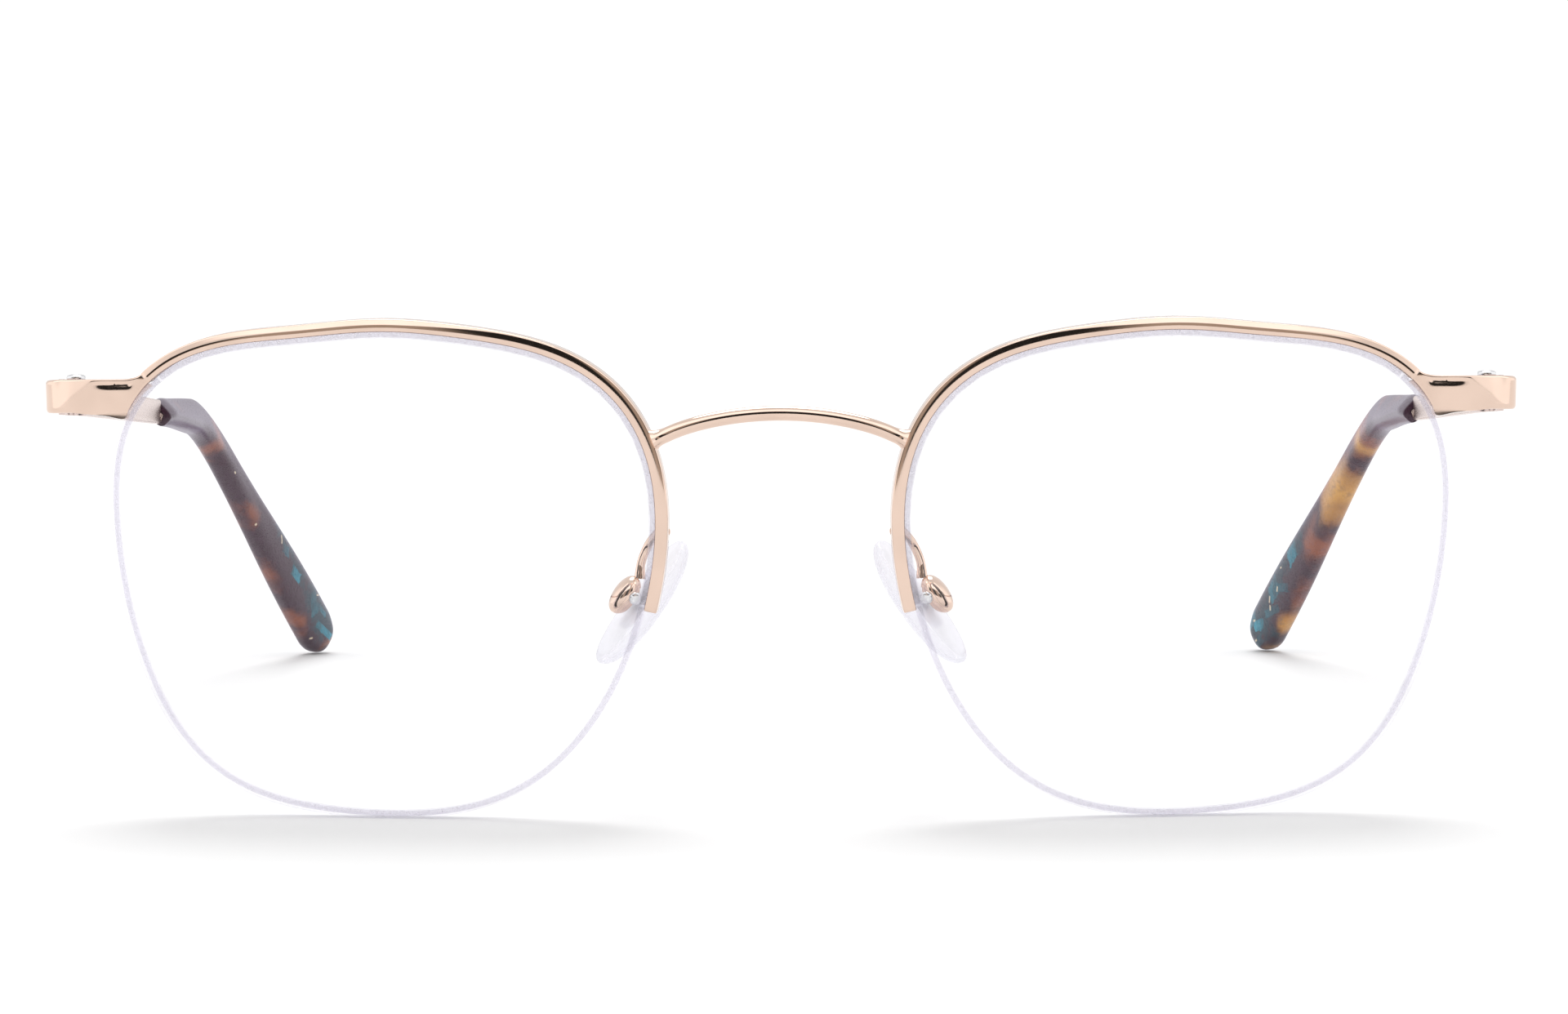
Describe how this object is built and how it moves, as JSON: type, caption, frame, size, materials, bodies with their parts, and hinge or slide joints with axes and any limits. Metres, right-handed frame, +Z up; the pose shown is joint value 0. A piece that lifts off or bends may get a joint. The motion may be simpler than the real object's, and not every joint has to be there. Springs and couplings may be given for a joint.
{
  "type": "half rim eyeglasses",
  "caption": "Half rim eyeglasses with metal upper rims, cord-held clear lenses, an arched bridge, rocking nose pads and folding temples with bent acetate tips.",
  "frame": {"origin": "bottom centre of the box, on the plane that both lens bottoms and both temple tips rest on", "axes": "+X to the wearer's left, +Y back along the temples, +Z up from the table; the lenses face -Y"},
  "size_m": [0.1388, 0.1442, 0.047],
  "materials": {
    "rose_gold": "polished rose-gold plating",
    "steel": "polished stainless screw",
    "demo_lens": "clear, polished faces with a ground edge",
    "nylon": "clear nylon",
    "soft_pad": "clear silicone",
    "pad_core": "clear hard plastic",
    "tortoise_acetate": "polished laminated acetate, tortoise with a teal flake layer"
  },
  "bodies": {
    "front": {"bridge": "rose_gold", "left_eyewire": "rose_gold", "left_lens": "demo_lens", "left_rim_liner": "nylon", "left_lens_cord": "nylon", "left_end_piece": "rose_gold", "left_hinge_front": "rose_gold", "left_hinge_screw": "steel", "left_pad_arm": "rose_gold", "left_pad_box": "rose_gold", "left_pad_screw": "steel", "right_eyewire": "rose_gold", "right_lens": "demo_lens", "right_rim_liner": "nylon", "right_lens_cord": "nylon", "right_end_piece": "rose_gold", "right_hinge_front": "rose_gold", "right_hinge_screw": "steel", "right_pad_arm": "rose_gold", "right_pad_box": "rose_gold", "right_pad_screw": "steel"},
    "left_temple": {"left_hinge_temple": "rose_gold", "left_temple_arm": "rose_gold", "left_temple_tip": "tortoise_acetate"},
    "left_pad": {"left_nose_pad": "soft_pad", "left_pad_insert": "pad_core"},
    "right_temple": {"right_hinge_temple": "rose_gold", "right_temple_arm": "rose_gold", "right_temple_tip": "tortoise_acetate"},
    "right_pad": {"right_nose_pad": "soft_pad", "right_pad_insert": "pad_core"}
  },
  "joints": [
    {"name": "left_temple_fold", "type": "hinge", "parent": "front", "child": "left_temple", "pos_m": [0.0672, -0.05656, 0.03888], "axis": [0, 0.0803, 0.9968], "range_deg": [0, 86]},
    {"name": "right_temple_fold", "type": "hinge", "parent": "front", "child": "right_temple", "pos_m": [-0.0672, -0.05656, 0.03888], "axis": [0, -0.0803, -0.9968], "range_deg": [0, 76]},
    {"name": "left_pad_rock", "type": "hinge", "parent": "front", "child": "left_pad", "pos_m": [0.0141, -0.06127, 0.02025], "axis": [0.2377, 0.9669, 0.0929], "range_deg": [-10, 10]},
    {"name": "right_pad_rock", "type": "hinge", "parent": "front", "child": "right_pad", "pos_m": [-0.0141, -0.06127, 0.02025], "axis": [0.2377, -0.9669, -0.0929], "range_deg": [-10, 10]}
  ]
}
